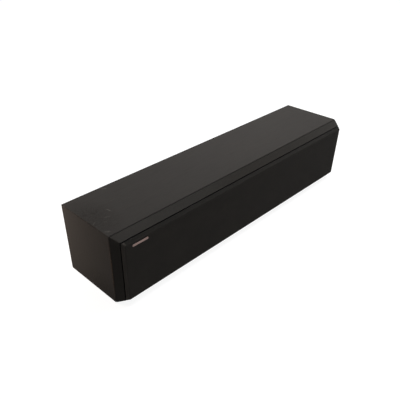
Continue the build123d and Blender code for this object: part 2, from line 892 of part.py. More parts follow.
def binding_cap(x, name):
    # Fluted cap, screwed onto the stud, open at its end for a plug
    with BuildPart() as cap:
        with BuildSketch(rear_plane(cap_front, x)):
            Circle(cap_radius)
        extrude(amount=cap_length)
        chamfer(cap.edges().filter_by(GeomType.CIRCLE), cap_edge)
        with BuildSketch(rear_plane(cap_front, x)):
            Circle(post_hole_radius)
            with PolarLocations(cap_radius, cap_flutes):
                Circle(flute_radius)
        extrude(amount=cap_length, mode=Mode.SUBTRACT)
    save(cap, name)


washer_front = collar_back + cap_lift
washer_back = washer_front + washer_thickness
cap_front = washer_back + cap_lift

for colour, x in post_places:
    binding_post(x, f"{colour}_binding_post")
    clamp_washer(x, f"{colour}_clamp_washer")
    binding_cap(x, f"{colour}_post_cap")

# Port tubes, flared at both ends, with a flange on the back panel

for side, x in (("left", -port_x), ("right", port_x)):
    tube_outer = port_radius + port_wall
    tube_back = back_face + port_flange
    tube_front = tube_back - port_length
    with BuildPart() as port_tube:
        with BuildSketch(profile_plane(x, 0)):
            with BuildLine():
                Line((port_radius, tube_front + port_flare), (port_radius, tube_back - port_flare))
                mouth = TangentArc(
                    (port_radius, tube_back - port_flare),
                    (port_radius + port_flare, tube_back),
                    tangent=(0, 1),
                )
                Polyline(
                    mouth @ 1,
                    (port_flange_radius, tube_back),
                    (port_flange_radius, back_face),
                    (tube_outer, back_face),
                    (tube_outer, tube_front + port_flare),
                )
                TangentArc(
                    (tube_outer, tube_front + port_flare),
                    (port_radius + port_flare, tube_front + port_wall / 2),
                    tangent=(0, -1),
                )
                Line(
                    (port_radius + port_flare, tube_front + port_wall / 2),
                    (port_radius + port_flare, tube_front),
                )
                TangentArc(
                    (port_radius, tube_front + port_flare),
                    (port_radius + port_flare, tube_front),
                    tangent=(0, -1),
                )
            make_face()
        revolve(axis=depth_axis(x))
    save(port_tube, f"{side}_port_tube")

# Crossover on the inside of the back panel: board on standoffs with its parts facing forward

bay_start = brace_x + brace_thickness / 2
bay_end = port_x - port_flange_radius
board_x = (bay_start + bay_end) / 2
board_back = back_inside - standoff_height
board_front = board_back - board_thickness
standoff_x = board_width - 2 * standoff_inset
standoff_z = board_height - 2 * standoff_inset

with BuildPart() as crossover_board:
    with BuildSketch(front_plane(board_back, board_x)):
        RectangleRounded(board_width, board_height, board_corner)
        with GridLocations(standoff_x, standoff_z, 2, 2):
            Circle(screw_hole_radius, mode=Mode.SUBTRACT)
    extrude(amount=board_thickness)
save(crossover_board, "crossover_board")

with BuildPart() as board_standoffs:
    with BuildSketch(front_plane(back_inside, board_x)):
        with GridLocations(standoff_x, standoff_z, 2, 2):
            Circle(standoff_radius)
    extrude(amount=standoff_height)
    with BuildSketch(front_plane(board_back, board_x)):
        with GridLocations(standoff_x, standoff_z, 2, 2):
            Circle(screw_radius)
    extrude(amount=board_thickness)
save(board_standoffs, "board_standoffs")

inductor_place = board_width / 2 - inductor_radius - inductor_flange

with BuildPart() as inductors:
    for x in (board_x - inductor_place, board_x + inductor_place):
        flange_front = board_front - inductor_height
        wound = inductor_radius - inductor_groove
        turned_ring(x, inductor_bore, wound, flange_front, board_front, y=0)
        turned_ring(x, inductor_bore, inductor_radius, flange_front,
                    flange_front + inductor_flange, y=0)
        turned_ring(x, inductor_bore, inductor_radius, board_front - inductor_flange,
                    board_front, y=0)
save(inductors, "inductors")

with BuildPart() as capacitors:
    for row in (-1, 0, 1):
        z = middle_height + row * (2 * capacitor_radius + capacitor_edge)
        side = Plane(
            origin=(board_x - capacitor_length / 2, board_front - capacitor_radius, z),
            x_dir=(0, 1, 0),
            z_dir=(1, 0, 0),
        )
        with BuildSketch(side):
            Circle(capacitor_radius)
        extrude(amount=capacitor_length)
    chamfer(capacitors.edges().filter_by(GeomType.CIRCLE), capacitor_edge)
save(capacitors, "capacitors")

with BuildPart() as resistors:
    for x in (board_x - inductor_place, board_x + inductor_place):
        z = middle_height + board_height / 2 - resistor_side
        with BuildSketch(front_plane(board_front, x, z)):
            Rectangle(resistor_length, resistor_side)
        extrude(amount=resistor_side)
save(resistors, "resistors")

# Wiring: one lead from each driver and each binding post to the bottom edge of the board.
# Every lead has a lane of its own across the cabinet, through the windows of the braces.

lane_z = middle_height - wire_lane_drop
pad_z = middle_height - board_height / 2 + wire_pad_rise
tweeter_lead_radius = (tweeter_front_plate_radius + horn_flange_radius) / 2
tweeter_lead_x = sqrt(tweeter_lead_radius**2 - wire_lane_drop**2)
stud_end = cup_floor - terminal_wall - stud_length - solder_gap
lead_starts = [
    (tweeter_lead_x, baffle_front + throat_back + solder_gap, lane_z),
    (-post_spacing / 2, stud_end, middle_height),
    (woofer_places[0], tag_back + solder_gap, tag_z),
    (woofer_places[1], tag_back + solder_gap, tag_z),
    (woofer_places[2], tag_back + solder_gap, tag_z),
    (post_spacing / 2, stud_end, middle_height),
    (woofer_places[3], tag_back + solder_gap, tag_z),
]


def lead(start, lane_y, pad_x):
    # Round sleeve: out from its start to its lane, along the lane, down and back to the board
    x, _, z = start
    corners = [start, (x, lane_y, z), (x, lane_y, lane_z), (pad_x, lane_y, lane_z)]
    corners += [(pad_x, lane_y, pad_z), (pad_x, board_front - solder_gap, pad_z)]
    if z == lane_z:
        corners.pop(1)
    with BuildLine() as route:
        FilletPolyline(*corners, radius=wire_bend)
    with BuildSketch(Plane(origin=route.line @ 0, z_dir=route.line % 0)) as section:
        Circle(wire_radius)
    sweep(section.sketch, path=route.wires()[0])


with BuildPart() as wiring_loom:
    for order, start in enumerate(lead_starts):
        lane_y = wire_lane_start + order * wire_lane
        pad_x = board_x - board_width / 2 + wire_pad_inset + order * wire_pad_pitch
        lead(start, lane_y, pad_x)
save(wiring_loom, "wiring_loom")

# Damping pad on the inside of the back panel, between the left brace and the left port

with BuildPart() as damping_pads:
    pad_width = bay_end - bay_start - 2 * pad_gap
    with BuildSketch(front_plane(back_inside, -board_x)):
        RectangleRounded(pad_width, pad_height, pad_corner)
    extrude(amount=pad_thickness)
save(damping_pads, "damping_pads")

# Rubber feet under the bottom panel

with BuildPart() as rubber_feet:
    foot_x = cabinet_width - 2 * foot_inset
    foot_y = cabinet_depth - 2 * foot_setback
    with BuildSketch(Plane((0, cabinet_back - cabinet_depth / 2, foot_height))):
        with GridLocations(foot_x, foot_y, 2, 2):
            Circle(foot_radius)
    extrude(amount=-foot_height)
    chamfer(rubber_feet.faces().group_by(Axis.Z)[0].edges(), foot_chamfer)
save(rubber_feet, "rubber_feet")
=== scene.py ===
import math
import bmesh
import bpy
import numpy as np
from mathutils import Matrix, Vector


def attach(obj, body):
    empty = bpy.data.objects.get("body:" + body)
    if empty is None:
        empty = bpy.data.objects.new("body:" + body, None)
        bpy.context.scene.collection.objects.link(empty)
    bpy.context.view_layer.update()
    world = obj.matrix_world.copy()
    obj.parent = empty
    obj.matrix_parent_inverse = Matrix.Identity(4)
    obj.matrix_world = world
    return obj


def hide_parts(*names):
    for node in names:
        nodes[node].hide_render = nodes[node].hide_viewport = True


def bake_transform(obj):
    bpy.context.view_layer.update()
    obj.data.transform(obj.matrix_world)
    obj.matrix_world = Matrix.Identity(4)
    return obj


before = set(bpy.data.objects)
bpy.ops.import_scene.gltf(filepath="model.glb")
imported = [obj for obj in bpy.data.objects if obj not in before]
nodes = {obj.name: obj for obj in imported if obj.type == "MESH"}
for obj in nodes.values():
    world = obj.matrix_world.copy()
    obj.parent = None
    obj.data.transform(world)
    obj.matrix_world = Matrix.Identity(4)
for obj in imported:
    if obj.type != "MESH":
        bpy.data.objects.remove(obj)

bpy.context.view_layer.update()
print("frame:", len(nodes), "CAD nodes")

scene = bpy.context.scene
scene.view_settings.view_transform = "Standard"
mm = 0.001
# what several pieces share, in mm: the cloth's outer face, the baffle's face, the height of the middle
grilleFront, baffleFace, middleHeight = -78.5, -70.7, 73.5
noiseBand = (0.3, 0.7)   # nearly all values of a noise lie between these
markCore = 0.35   # share of a mark's half sizes that has its full strength


def hexToLinear(code):
    # sRGB hex to the linear colour that Blender works in
    part = np.array([int(code[k:k + 2], 16) for k in (1, 3, 5)]) / 255
    linear = np.where(part <= 0.04045, part / 12.92, ((part + 0.055) / 1.055) ** 2.4)
    return (*linear.tolist(), 1.0)


def addNode(tree, kind, inputs=(), **settings):
    # one node with its settings; its sockets, by name or number or in their order, are set to a value
    # or linked, to an output or to the first live output of a node
    node = tree.nodes.new(kind)
    for name, value in settings.items():
        setattr(node, name, value)
    for key, value in inputs.items() if isinstance(inputs, dict) else enumerate(inputs):
        if isinstance(value, bpy.types.Node):
            value = next(output for output in value.outputs if output.enabled)
        if isinstance(value, bpy.types.NodeSocket):
            tree.links.new(value, node.inputs[key])
        else:
            node.inputs[key].default_value = value
    return node


def bareTree(owner):
    # the emptied node tree of a material or a world
    owner.use_nodes = True
    owner.node_tree.nodes.clear()
    return owner.node_tree


def stretchedNoise(tree, coords, sizesMm, detail=3.0, roughness=0.55):
    # noise whose grains are about sizesMm (x, y, z)
    scaled = addNode(tree, "ShaderNodeMapping", {"Vector": coords, "Scale": [1 / mm / s for s in sizesMm]})
    return addNode(tree, "ShaderNodeTexNoise", {
        "Vector": scaled, "Scale": 1.0, "Detail": detail, "Roughness": roughness})


def mixedNoise(tree, fine, broad, fineShare):
    # two noises, each carried from its band to 0..its share, and added
    parts = [addNode(tree, "ShaderNodeMapRange", (noise, *noiseBand, 0.0, share))
             for noise, share in ((fine, fineShare), (broad, 1 - fineShare))]
    return addNode(tree, "ShaderNodeMath", parts)


def paintLayers(tree, base, layers):
    # each layer (mask, hue) covers what lies under it as far as its mask says; a Mix node's colours are
    # its sockets 6 and 7
    colour = hexToLinear(base)
    for mask, hue in layers:
        colour = addNode(tree, "ShaderNodeMix", {0: mask, 6: colour, 7: hexToLinear(hue)}, data_type="RGBA")
    return colour


def markMask(tree, coords, centre, half, turn, strength):
    # the distance from a mark's centre, counted in its half sizes: full strength in the core, none past 1
    turned = addNode(tree, "ShaderNodeMapping", {
        "Vector": coords, "Location": [c * mm for c in centre], "Rotation": [0, 0, math.radians(turn)],
        "Scale": [h * mm for h in half]}, vector_type="TEXTURE")
    away = addNode(tree, "ShaderNodeVectorMath", (turned,), operation="LENGTH").outputs["Value"]
    return addNode(tree, "ShaderNodeMapRange", (away, markCore, 1.0, strength, 0.0))


# Black ash vinyl: printed wood film on board, embossed with pores, satin. The eye sees soft long
# streaks along the grain, fine dark pores, and pale scuffs where the film has been rubbed.
ashVinyl = {
    "dark": "#343231", "light": "#373533", "pore": "#2d2b29",
    "scuff": "#77726c", "dirtAndShade": "#262422", "worn": "#5a4a3c",
    "streakMm": (160, 5, 160), "cloudMm": (90, 60, 60), "streakShare": 0.75,
    "poreMm": (26, 1.6, 26),   # drawn twice as wide as real pores, to show
    "poreBand": (0.56, 0.66), "poreShare": 0.22, "poreDepthMm": 0.05, "poreRelief": 0.25,
    "breakMm": (2.2, 2.2, 2.2), "breakBand": (0.38, 0.6), "breakLeast": 0.25,   # breaks in the marks
    "roughness": (0.46, 0.58), "specular": 0.004, "ior": 1.47,
}
# marks near the left end, real handling marks and painted shade: kind, centre and half sizes (x, y, z) in
# mm, turn about z, strength
handMarksAndShade = [
    # painted shade with handling dirt: the top's left end darker, where less light falls, with cloudy dirt
    # in it
    ("dirtAndShade", (-322.0, 5.0, 144), (48.0, 66.0, 4), 0, 0.54),
    # painted shade: the left side darker towards its lower front, where little light reaches
    ("dirtAndShade", (-335, -24.0, 0), (6, 68.0, 60.0), 0, 0.66),
    ("dirtAndShade", (-325.8, 21.3, 144), (5.5, 4.5, 4), 0, 0.55),
    ("dirtAndShade", (-312.6, 15.6, 144), (6.5, 4.0, 4), -30, 0.5),
    # painted shadow: a thin dark line beside the scuff at x -287.7
    ("dirtAndShade", (-291.2, -1.5, 144), (5.0, 1.6, 4), -80, 0.45),
    ("worn", (-335, -54.2, 76), (5, 2.2, 74.0), 0, 0.5),
    ("scuff", (-287.7, 5.9, 144), (7.5, 1.4, 4), -78, 0.27),
    ("scuff", (-302.2, -8.6, 144), (7.2, 1.4, 4), -16, 0.21),
    ("scuff", (-313.5, -18.1, 144), (5.2, 1.3, 4), -45, 0.17),
    ("scuff", (-329.1, -9.5, 144), (7.2, 1.5, 4), 33, 0.16),
    ("scuff", (-327.5, -42.7, 144), (7.0, 3.2, 4), -37, 0.17),
    ("scuff", (-250.5, 69.2, 144), (7.0, 2.6, 4), -26, 0.2),
    ("scuff", (-263, 28, 144), (9.0, 0.8, 4), 12, 0.08),
    ("scuff", (-240, 15, 144), (7.0, 0.8, 4), -20, 0.07),
]


def makeAshVinyl(spec, marks):
    material = bpy.data.materials.new("black ash vinyl")
    tree = bareTree(material)
    coords = addNode(tree, "ShaderNodeTexCoord").outputs["Object"]
    streak = stretchedNoise(tree, coords, spec["streakMm"], detail=4.0, roughness=0.6)
    cloud = stretchedNoise(tree, coords, spec["cloudMm"], detail=2.0)
    pores = stretchedNoise(tree, coords, spec["poreMm"], detail=2.0, roughness=0.4)
    poreMask = addNode(tree, "ShaderNodeMapRange", (pores, *spec["poreBand"]))
    faint = addNode(tree, "ShaderNodeMath", (poreMask, spec["poreShare"]), operation="MULTIPLY")
    layers = [(mixedNoise(tree, streak, cloud, spec["streakShare"]), spec["light"]), (faint, spec["pore"])]
    breaks = stretchedNoise(tree, coords, spec["breakMm"], detail=2.0)
    ragged = addNode(tree, "ShaderNodeMapRange", (breaks, *spec["breakBand"], spec["breakLeast"], 1.0))
    for kind, centre, half, turn, strength in marks:
        whole = markMask(tree, coords, centre, half, turn, strength)
        layers.append((addNode(tree, "ShaderNodeMath", (whole, ragged), operation="MULTIPLY"), spec[kind]))
    bump = addNode(tree, "ShaderNodeBump", {
        "Height": poreMask, "Strength": spec["poreRelief"],
        "Distance": spec["poreDepthMm"] * mm}, invert=True)
    shader = addNode(tree, "ShaderNodeBsdfPrincipled", {
        "Base Color": paintLayers(tree, spec["dark"], layers), "Normal": bump,
        "Roughness": addNode(tree, "ShaderNodeMapRange", (streak, *noiseBand, *spec["roughness"])),
        "Specular IOR Level": spec["specular"], "IOR": spec["ior"]})
    addNode(tree, "ShaderNodeOutputMaterial", (shader,))
    return material


# The plainer finishes, each a base colour broken up by a grain of its own size, with that grain as
# relief. What they share comes first, and a finish may set any of it for itself.
plainCommon = dict(
    broadMm=(60, 60, 60), grainShare=0.6, relief=0.6,
    metallic=0.0, sheen=0.0, coat=0.0, coatRoughness=0.12)
plainFinishes = {
    "back_vinyl": dict(  # pressed film: faint dimples, dull
        name="plain black vinyl, matte embossed", dark="#1f1f1f", light="#292929", grainMm=(3, 3, 3),
        rough=(0.6, 0.75), reliefMm=0.08, specular=0.14),
    "baffle_paint": dict(  # sprayed satin paint on sanded board: even, with a trace of orange peel
        name="sprayed satin black paint", dark="#1e1c1a", light="#24221f", grainMm=(4, 4, 4),
        rough=(0.32, 0.4), reliefMm=0.02, specular=0.022,
        paintedLightHue="#3a3633", paintedLight=((-335, -62, 140), (95, 24, 14), 0, 0.15),   # painted light: the top bevel's left end paler, as if lit from the left
        gapShadeHue="#0e0e0e", gapShadeMm=(baffleFace + 0.15, baffleFace + 0.3)),   # painted shade: the flat face dead black, so the gap round the grille reads as deep shadow
    "bare_board": dict(  # pressed wood fibre, cut with a saw: pale brown flecks
        name="medium density fibreboard", dark="#8f7350", light="#b3956b", grainMm=(2, 6, 2),
        rough=(0.8, 0.95), reliefMm=0.1, specular=0.2),
    "frame_abs": dict(  # moulded in a sparked tool: fine even grain without streaks
        name="moulded black ABS, spark textured", dark="#141414", light="#1c1c1c", grainMm=(1.6, 1.6, 1.6),
        rough=(0.5, 0.62), reliefMm=0.05, specular=0.4),
    "peg_nylon": dict(  # smooth and slightly waxy
        name="moulded black nylon", dark="#161616", light="#1f1f1f", grainMm=(3, 3, 3),
        rough=(0.38, 0.48), reliefMm=0.02, specular=0.45),
    "cup_rubber": dict(  # soft and dull
        name="moulded black rubber", dark="#151515", light="#1d1c1c", grainMm=(2, 2, 2),
        rough=(0.65, 0.8), reliefMm=0.04, specular=0.3),
    "basket_steel": dict(  # pressed steel, powder coated: fine pebbled satin
        name="powder coated steel", dark="#161617", light="#202021", grainMm=(1.8, 1.8, 1.8),
        rough=(0.36, 0.5), reliefMm=0.06, specular=0.2),
    "gasket_foam": dict(  # tiny cells that swallow the light
        name="closed cell foam", dark="#1b1b1b", light="#2a2a2a", grainMm=(1.2, 1.2, 1.2),
        rough=(0.85, 0.95), reliefMm=0.12, specular=0.15),
    "wire_sleeve": dict(  # smooth sleeve, a little glossy along its crown
        name="flexible PVC sleeve", dark="#6e1414", light="#841a1a", grainMm=(4, 4, 4),
        rough=(0.35, 0.45), reliefMm=0.01, specular=0.4),
    "ferrite": dict(  # fired, then ground: stony grey with fine specks
        name="ground ferrite", dark="#3a3a3c", light="#4c4c4e", grainMm=(1, 1, 1),
        rough=(0.5, 0.65), reliefMm=0.03, specular=0.5),
    "black_screws": dict(  # a dark skin over metal: soft glints on the edges
        name="black oxide steel", dark="#1a1a1b", light="#29292b", grainMm=(1.5, 1.5, 1.5),
        rough=(0.3, 0.42), reliefMm=0.01, metallic=0.6, specular=0.5),
    "waveguide_abs": dict(  # moulded in a polished tool with a light texture: soft sheen in the flare
        name="moulded black ABS, satin", dark="#141415", light="#1a1a1b", grainMm=(2.4, 2.4, 2.4),
        rough=(0.36, 0.44), reliefMm=0.02, specular=0.2),
    "dome_silk": dict(  # woven silk, doped: soft sheen over a fine grain
        name="doped woven silk", dark="#222124", light="#302f33", grainMm=(0.8, 0.8, 0.8),
        rough=(0.5, 0.62), reliefMm=0.05, specular=0.35, sheen=0.4),
    "terminal_abs": dict(  # moulded in an etched tool: fine grain, no clear highlight
        name="moulded black ABS, matte", dark="#181818", light="#212121", grainMm=(1.4, 1.4, 1.4),
        rough=(0.52, 0.66), reliefMm=0.05, specular=0.4),
    "port_abs": dict(  # smoother: a soft highlight round the flare
        name="moulded black ABS, eggshell", dark="#151515", light="#1e1e1e", grainMm=(2, 2, 2),
        rough=(0.42, 0.54), reliefMm=0.04, specular=0.4),
    "circuit_board": dict(  # lacquered laminate: smooth green with a sheen
        name="glass epoxy board, green mask", dark="#1f4a2b", light="#2b6138", grainMm=(6, 6, 2),
        rough=(0.3, 0.4), reliefMm=0.02, specular=0.5),
    "standoff_nylon": dict(  # milky and slightly waxy
        name="natural nylon", dark="#cfccc2", light="#e2dfd6", grainMm=(4, 4, 4),
        rough=(0.4, 0.5), reliefMm=0.02, specular=0.4),
    "capacitor_film": dict(  # wound film under varnish: amber bands and a gloss
        name="amber polyester film", dark="#a86a14", light="#c98a2a", grainMm=(12, 3, 3),
        rough=(0.22, 0.32), reliefMm=0.02, specular=0.5, coat=0.3),
    "cement": dict(  # chalky, with fine pits
        name="cast white cement", dark="#c2beb4", light="#d8d4cb", grainMm=(1.5, 1.5, 1.5),
        rough=(0.8, 0.92), reliefMm=0.1, specular=0.25),
    "damping_foam": dict(  # matted fibres: soft, without highlights
        name="grey wool felt", dark="#55565a", light="#727379", grainMm=(2, 2, 5),
        rough=(0.9, 1.0), reliefMm=0.4, specular=0.1, sheen=0.5),
    "foot_rubber": dict(  # fine etched grain, dull
        name="matte black rubber", dark="#141414", light="#1c1c1c", grainMm=(1.6, 1.6, 1.6),
        rough=(0.7, 0.85), reliefMm=0.05, specular=0.3),
    "red_cap": dict(  # moulded in clear red plastic: deep colour under a glossy skin
        name="glossy red polycarbonate", dark="#9c1016", light="#b5181e", grainMm=(5, 5, 5),
        rough=(0.2, 0.28), reliefMm=0.01, specular=0.5, coat=0.4),
    "black_cap": dict(  # the same in black: only the gloss shows its form
        name="glossy black polycarbonate", dark="#121213", light="#1a1a1c", grainMm=(5, 5, 5),
        rough=(0.2, 0.28), reliefMm=0.01, specular=0.5, coat=0.4),
    "zinc_steel": dict(  # thin bright plating: cool grey, slightly cloudy
        name="zinc plated steel", dark="#9d9da0", light="#b9b9bb", grainMm=(2, 2, 2),
        rough=(0.28, 0.4), reliefMm=0.01, metallic=1.0, specular=0.5),
    "plated_brass": dict(  # turned, then plated: bright with fine tool marks round the axis
        name="plated turned brass", dark="#c9a253", light="#dcba72", grainMm=(6, 0.4, 6),
        rough=(0.2, 0.3), reliefMm=0.02, metallic=1.0, specular=0.5),
    "coil_copper": dict(  # close-wound enamelled wire: fine rounds side by side
        name="enamelled copper wire", dark="#8c4426", light="#b4623a", grainMm=(40, 0.5, 40),
        rough=(0.25, 0.35), reliefMm=0.2, metallic=1.0, specular=0.5),
    "spider_cloth": dict(  # weave stiffened with resin: straw coloured and dry
        name="resin dipped cotton", dark="#a98542", light="#c6a05a", grainMm=(0.9, 0.9, 0.9),
        rough=(0.7, 0.85), reliefMm=0.08, specular=0.2, sheen=0.2),
    "cone_pulp": dict(  # pressed pulp with a thin coat: felted flecks under a faint gloss
        name="coated pressed pulp", dark="#353436", light="#454447", grainMm=(2.6, 2.6, 2.6),
        rough=(0.36, 0.5), reliefMm=0.08, specular=0.3),
    "surround_rubber": dict(  # soft butyl: dull, greyer where light grazes the roll
        name="butyl rubber", dark="#131314", light="#1a1a1b", grainMm=(3, 3, 3),
        rough=(0.5, 0.6), reliefMm=0.02, specular=0.14, sheen=0.05),
}


def makePlain(spec):
    spec = plainCommon | spec
    material = bpy.data.materials.new(spec["name"])
    tree = bareTree(material)
    coords = addNode(tree, "ShaderNodeTexCoord").outputs["Object"]
    grain = stretchedNoise(tree, coords, spec["grainMm"])
    broad = stretchedNoise(tree, coords, spec["broadMm"], detail=2.0)
    layers = [(mixedNoise(tree, grain, broad, spec["grainShare"]), spec["light"])]
    # painted light: a paler patch, where one is given
    if "paintedLight" in spec:
        layers.append((markMask(tree, coords, *spec["paintedLight"]), spec["paintedLightHue"]))
    if "gapShadeMm" in spec:
        # painted shade on the front face alone, which ends between the two depths
        depth = addNode(tree, "ShaderNodeSeparateXYZ", (coords,)).outputs["Y"]
        ends = [y * mm for y in spec["gapShadeMm"]]
        layers.append((addNode(tree, "ShaderNodeMapRange", (depth, *ends, 1.0, 0.0)), spec["gapShadeHue"]))
    bump = addNode(tree, "ShaderNodeBump", {
        "Height": grain, "Strength": spec["relief"], "Distance": spec["reliefMm"] * mm})
    shader = addNode(tree, "ShaderNodeBsdfPrincipled", {
        "Base Color": paintLayers(tree, spec["dark"], layers), "Normal": bump,
        "Roughness": addNode(tree, "ShaderNodeMapRange", (grain, *noiseBand, *spec["rough"])),
        "Metallic": spec["metallic"], "Specular IOR Level": spec["specular"], "Sheen Weight": spec["sheen"],
        "Coat Weight": spec["coat"], "Coat Roughness": spec["coatRoughness"]})
    addNode(tree, "ShaderNodeOutputMaterial", (shader,))
    return material


# Woven polyester: plain weave of round yarn, matte. The eye sees a fine dark mesh with a little dust
# in it. Real yarn is about 0.5 mm apart; it is drawn at 1.5 mm here, because finer would not show.
polyesterWeave = {
    "yarnMm": 1.5, "warp": "#272523", "weft": "#201e1c", "gap": "#10100f", "dust": "#2a2724",
    "gapReach": 0.55,   # share of a yarn's height below which the gap shows
    "mottleMm": (45, 45, 25), "mottleBand": (0.35, 0.65), "dustShare": 0.25,
    "edges": (   # axis, band in mm and its two masks, depth behind the front in mm, share, hue
        ("Z", (128.7, 130.7), (0.0, 1.0), (0.3, 1.5), 0.45, "#10100f"),   # top slope, which faces the lamps above: painted shade, so darker
        ("X", (-320.0, -318.0), (1.0, 0.0), (0.1, 1.0), 0.75, "#3a3734"),   # left slope, which faces away from the lamps: painted light, so paler
    ),
    "reliefMm": 0.25, "relief": 0.45, "roughness": 0.88, "specular": 0.045,
    "sheen": 0.02, "sheenRoughness": 0.5,
}


def makeWeave(spec):
    material = bpy.data.materials.new("woven polyester")
    tree = bareTree(material)
    flat = addNode(tree, "ShaderNodeUVMap", uv_map="flat")
    perMetre = [1 / mm / spec["yarnMm"]] * 3   # yarns in a metre, along each axis
    yarns = addNode(tree, "ShaderNodeVectorMath", (flat, perMetre), operation="MULTIPLY")
    across = addNode(tree, "ShaderNodeSeparateXYZ", (yarns,)).outputs
    # a yarn's round back is |sin(pi t)| across it, and warp and weft lie on top by turns
    rounds = []
    for axis in (across["X"], across["Y"]):
        turn = addNode(tree, "ShaderNodeMath", (axis, math.pi), operation="MULTIPLY")
        wave = addNode(tree, "ShaderNodeMath", (turn,), operation="SINE")
        rounds.append(addNode(tree, "ShaderNodeMath", (wave,), operation="ABSOLUTE"))
    over = addNode(tree, "ShaderNodeTexChecker", {"Vector": yarns, "Scale": 1.0}).outputs["Fac"]
    height = addNode(tree, "ShaderNodeMix", {0: over, 2: rounds[0], 3: rounds[1]}, data_type="FLOAT")
    gapMask = addNode(tree, "ShaderNodeMapRange", (height, 0.0, spec["gapReach"], 1.0, 0.0))
    coords = addNode(tree, "ShaderNodeTexCoord").outputs["Object"]
    mottle = stretchedNoise(tree, coords, spec["mottleMm"])
    dusty = addNode(tree, "ShaderNodeMapRange", (mottle, *spec["mottleBand"], 0.0, spec["dustShare"]))
    layers = [(over, spec["weft"]), (gapMask, spec["gap"]), (dusty, spec["dust"])]
    # painted shade and painted light where the cloth goes round the frame's edges: a band along one axis,
    # and only behind the front
    place = addNode(tree, "ShaderNodeSeparateXYZ", (coords,)).outputs
    for axis, band, masks, depths, share, hue in spec["edges"]:
        near = addNode(tree, "ShaderNodeMapRange", (place[axis], *(v * mm for v in band), *masks))
        ends = [(grilleFront + v) * mm for v in depths]
        behind = addNode(tree, "ShaderNodeMapRange", (place["Y"], *ends, 0.0, share))
        layers.append((addNode(tree, "ShaderNodeMath", (behind, near), operation="MULTIPLY"), hue))
    bump = addNode(tree, "ShaderNodeBump", {
        "Height": height, "Strength": spec["relief"], "Distance": spec["reliefMm"] * mm})
    shader = addNode(tree, "ShaderNodeBsdfPrincipled", {
        "Base Color": paintLayers(tree, spec["warp"], layers), "Normal": bump,
        "Roughness": spec["roughness"], "Specular IOR Level": spec["specular"],
        "Sheen Weight": spec["sheen"], "Sheen Roughness": spec["sheenRoughness"]})
    addNode(tree, "ShaderNodeOutputMaterial", (shader,))
    return material


finishes = {slot: makePlain(spec) for slot, spec in plainFinishes.items()}
finishes["black_ash_vinyl"] = makeAshVinyl(ashVinyl, handMarksAndShade)
finishes["grille_cloth"] = makeWeave(polyesterWeave)
for node in nodes.values():
    for slot in node.material_slots:
        slot.material = finishes[slot.material.name.split(".")[0]]
print("finishes:", len(finishes))


def gridPiece(name, points, material, wrapRows=False, wrapColumns=False, outward=None):
    # a mesh over a grid of points (rows, columns, xyz), closed along the rows or columns where told;
    # faces are turned to look along outward, or out of the closed shape
    rows, columns = points.shape[:2]
    first, second = np.meshgrid(np.arange(rows - (not wrapRows)), np.arange(columns - (not wrapColumns)),
                                indexing="ij")
    nextRow, nextColumn = (first + 1) % rows, (second + 1) % columns
    faces = np.stack([first * columns + second, nextRow * columns + second,
                      nextRow * columns + nextColumn, first * columns + nextColumn], -1).reshape(-1, 4)
    flatPoints = points.reshape(-1, 3)
    corner = flatPoints[faces]
    area = np.cross(corner[:, 2] - corner[:, 0], corner[:, 3] - corner[:, 1])
    away = corner.mean(1) - flatPoints.mean(0) if outward is None else np.array(outward, float)
    if (area * away).sum() < 0:
        faces = faces[:, ::-1]
    mesh = bpy.data.meshes.new(name)
    mesh.from_pydata(flatPoints.tolist(), [], faces.tolist())
    mesh.polygons.foreach_set("use_smooth", np.ones(len(faces), bool))
    mesh.materials.append(material)
    piece = bpy.data.objects.new(name, mesh)
    scene.collection.objects.link(piece)
    return piece


def mergeDoubles(mesh, reach):
    # points closer than reach become one, which closes a grid's folded first and last rows
    shape = bmesh.new()
    shape.from_mesh(mesh)
    bmesh.ops.remove_doubles(shape, verts=shape.verts, dist=reach)
    shape.to_mesh(mesh)
    shape.free()


# Grille cloth: one sheet over the front of the frame, round its edges, down the sides and under
clothSheet = {
    "width": 670.0, "height": 141.0, "middle": middleHeight,   # outline that the insets count from, mm
    "back": -72.5, "front": grilleFront, "backInset": 10.0, "taper": 9 / 16.2,   # inset per mm of depth
    "edge": 1.8, "corner": 2.4, "cornerShare": 0.6,   # radii, and the most of a row that a corner takes
    "hem": 1.2, "hemRound": 0.35, "thick": 0.45, "weld": 0.02,
    "cornerSteps": 8, "longSteps": 90, "shortSteps": 18,
    "faceRows": 16, "edgeRows": 9, "sideRows": 5, "foldRows": 5,
}


def outlinePoints(halfWidth, halfHeight, radius, spec):
    # rounded rectangle for each row: quarter arcs about the four corner centres, joined by straight
    # runs; returns points and outward directions, (rows, samples, 2)
    steps = np.linspace(0, math.pi / 2, spec["cornerSteps"] + 1)
    start = np.arange(4)[:, None] * math.pi / 2
    angle = (start + steps).ravel()
    sign = np.array([(1, 1), (-1, 1), (-1, -1), (1, -1)]).repeat(len(steps), 0)
    direction = np.stack([np.cos(angle), np.sin(angle)], -1)
    half = np.stack([halfWidth, halfHeight], -1)[:, None]
    arcs = sign * (half - radius[:, None, None]) + radius[:, None, None] * direction
    # every sample is a mix of two arc samples: the arc's own, or the two ends of a straight run
    low, high, mix = [], [], []
    for corner in range(4):
        own = np.arange(len(steps)) + corner * len(steps)
        runs = spec["longSteps"] if corner % 2 == 0 else spec["shortSteps"]
        inner = np.arange(1, runs) / runs
        low.append(np.concatenate([own, np.full(runs - 1, own[-1])]))
        high.append(np.concatenate([own, np.full(runs - 1, (own[-1] + 1) % (4 * len(steps)))]))
        mix.append(np.concatenate([np.zeros(len(steps)), inner]))
    low, high, mix = (np.concatenate(k) for k in (low, high, mix))
    mix = mix[:, None]
    points = arcs[:, low] * (1 - mix) + arcs[:, high] * mix
    outward = direction[low] * (1 - mix) + direction[high] * mix
    return points, outward / np.linalg.norm(outward, axis=-1, keepdims=True)


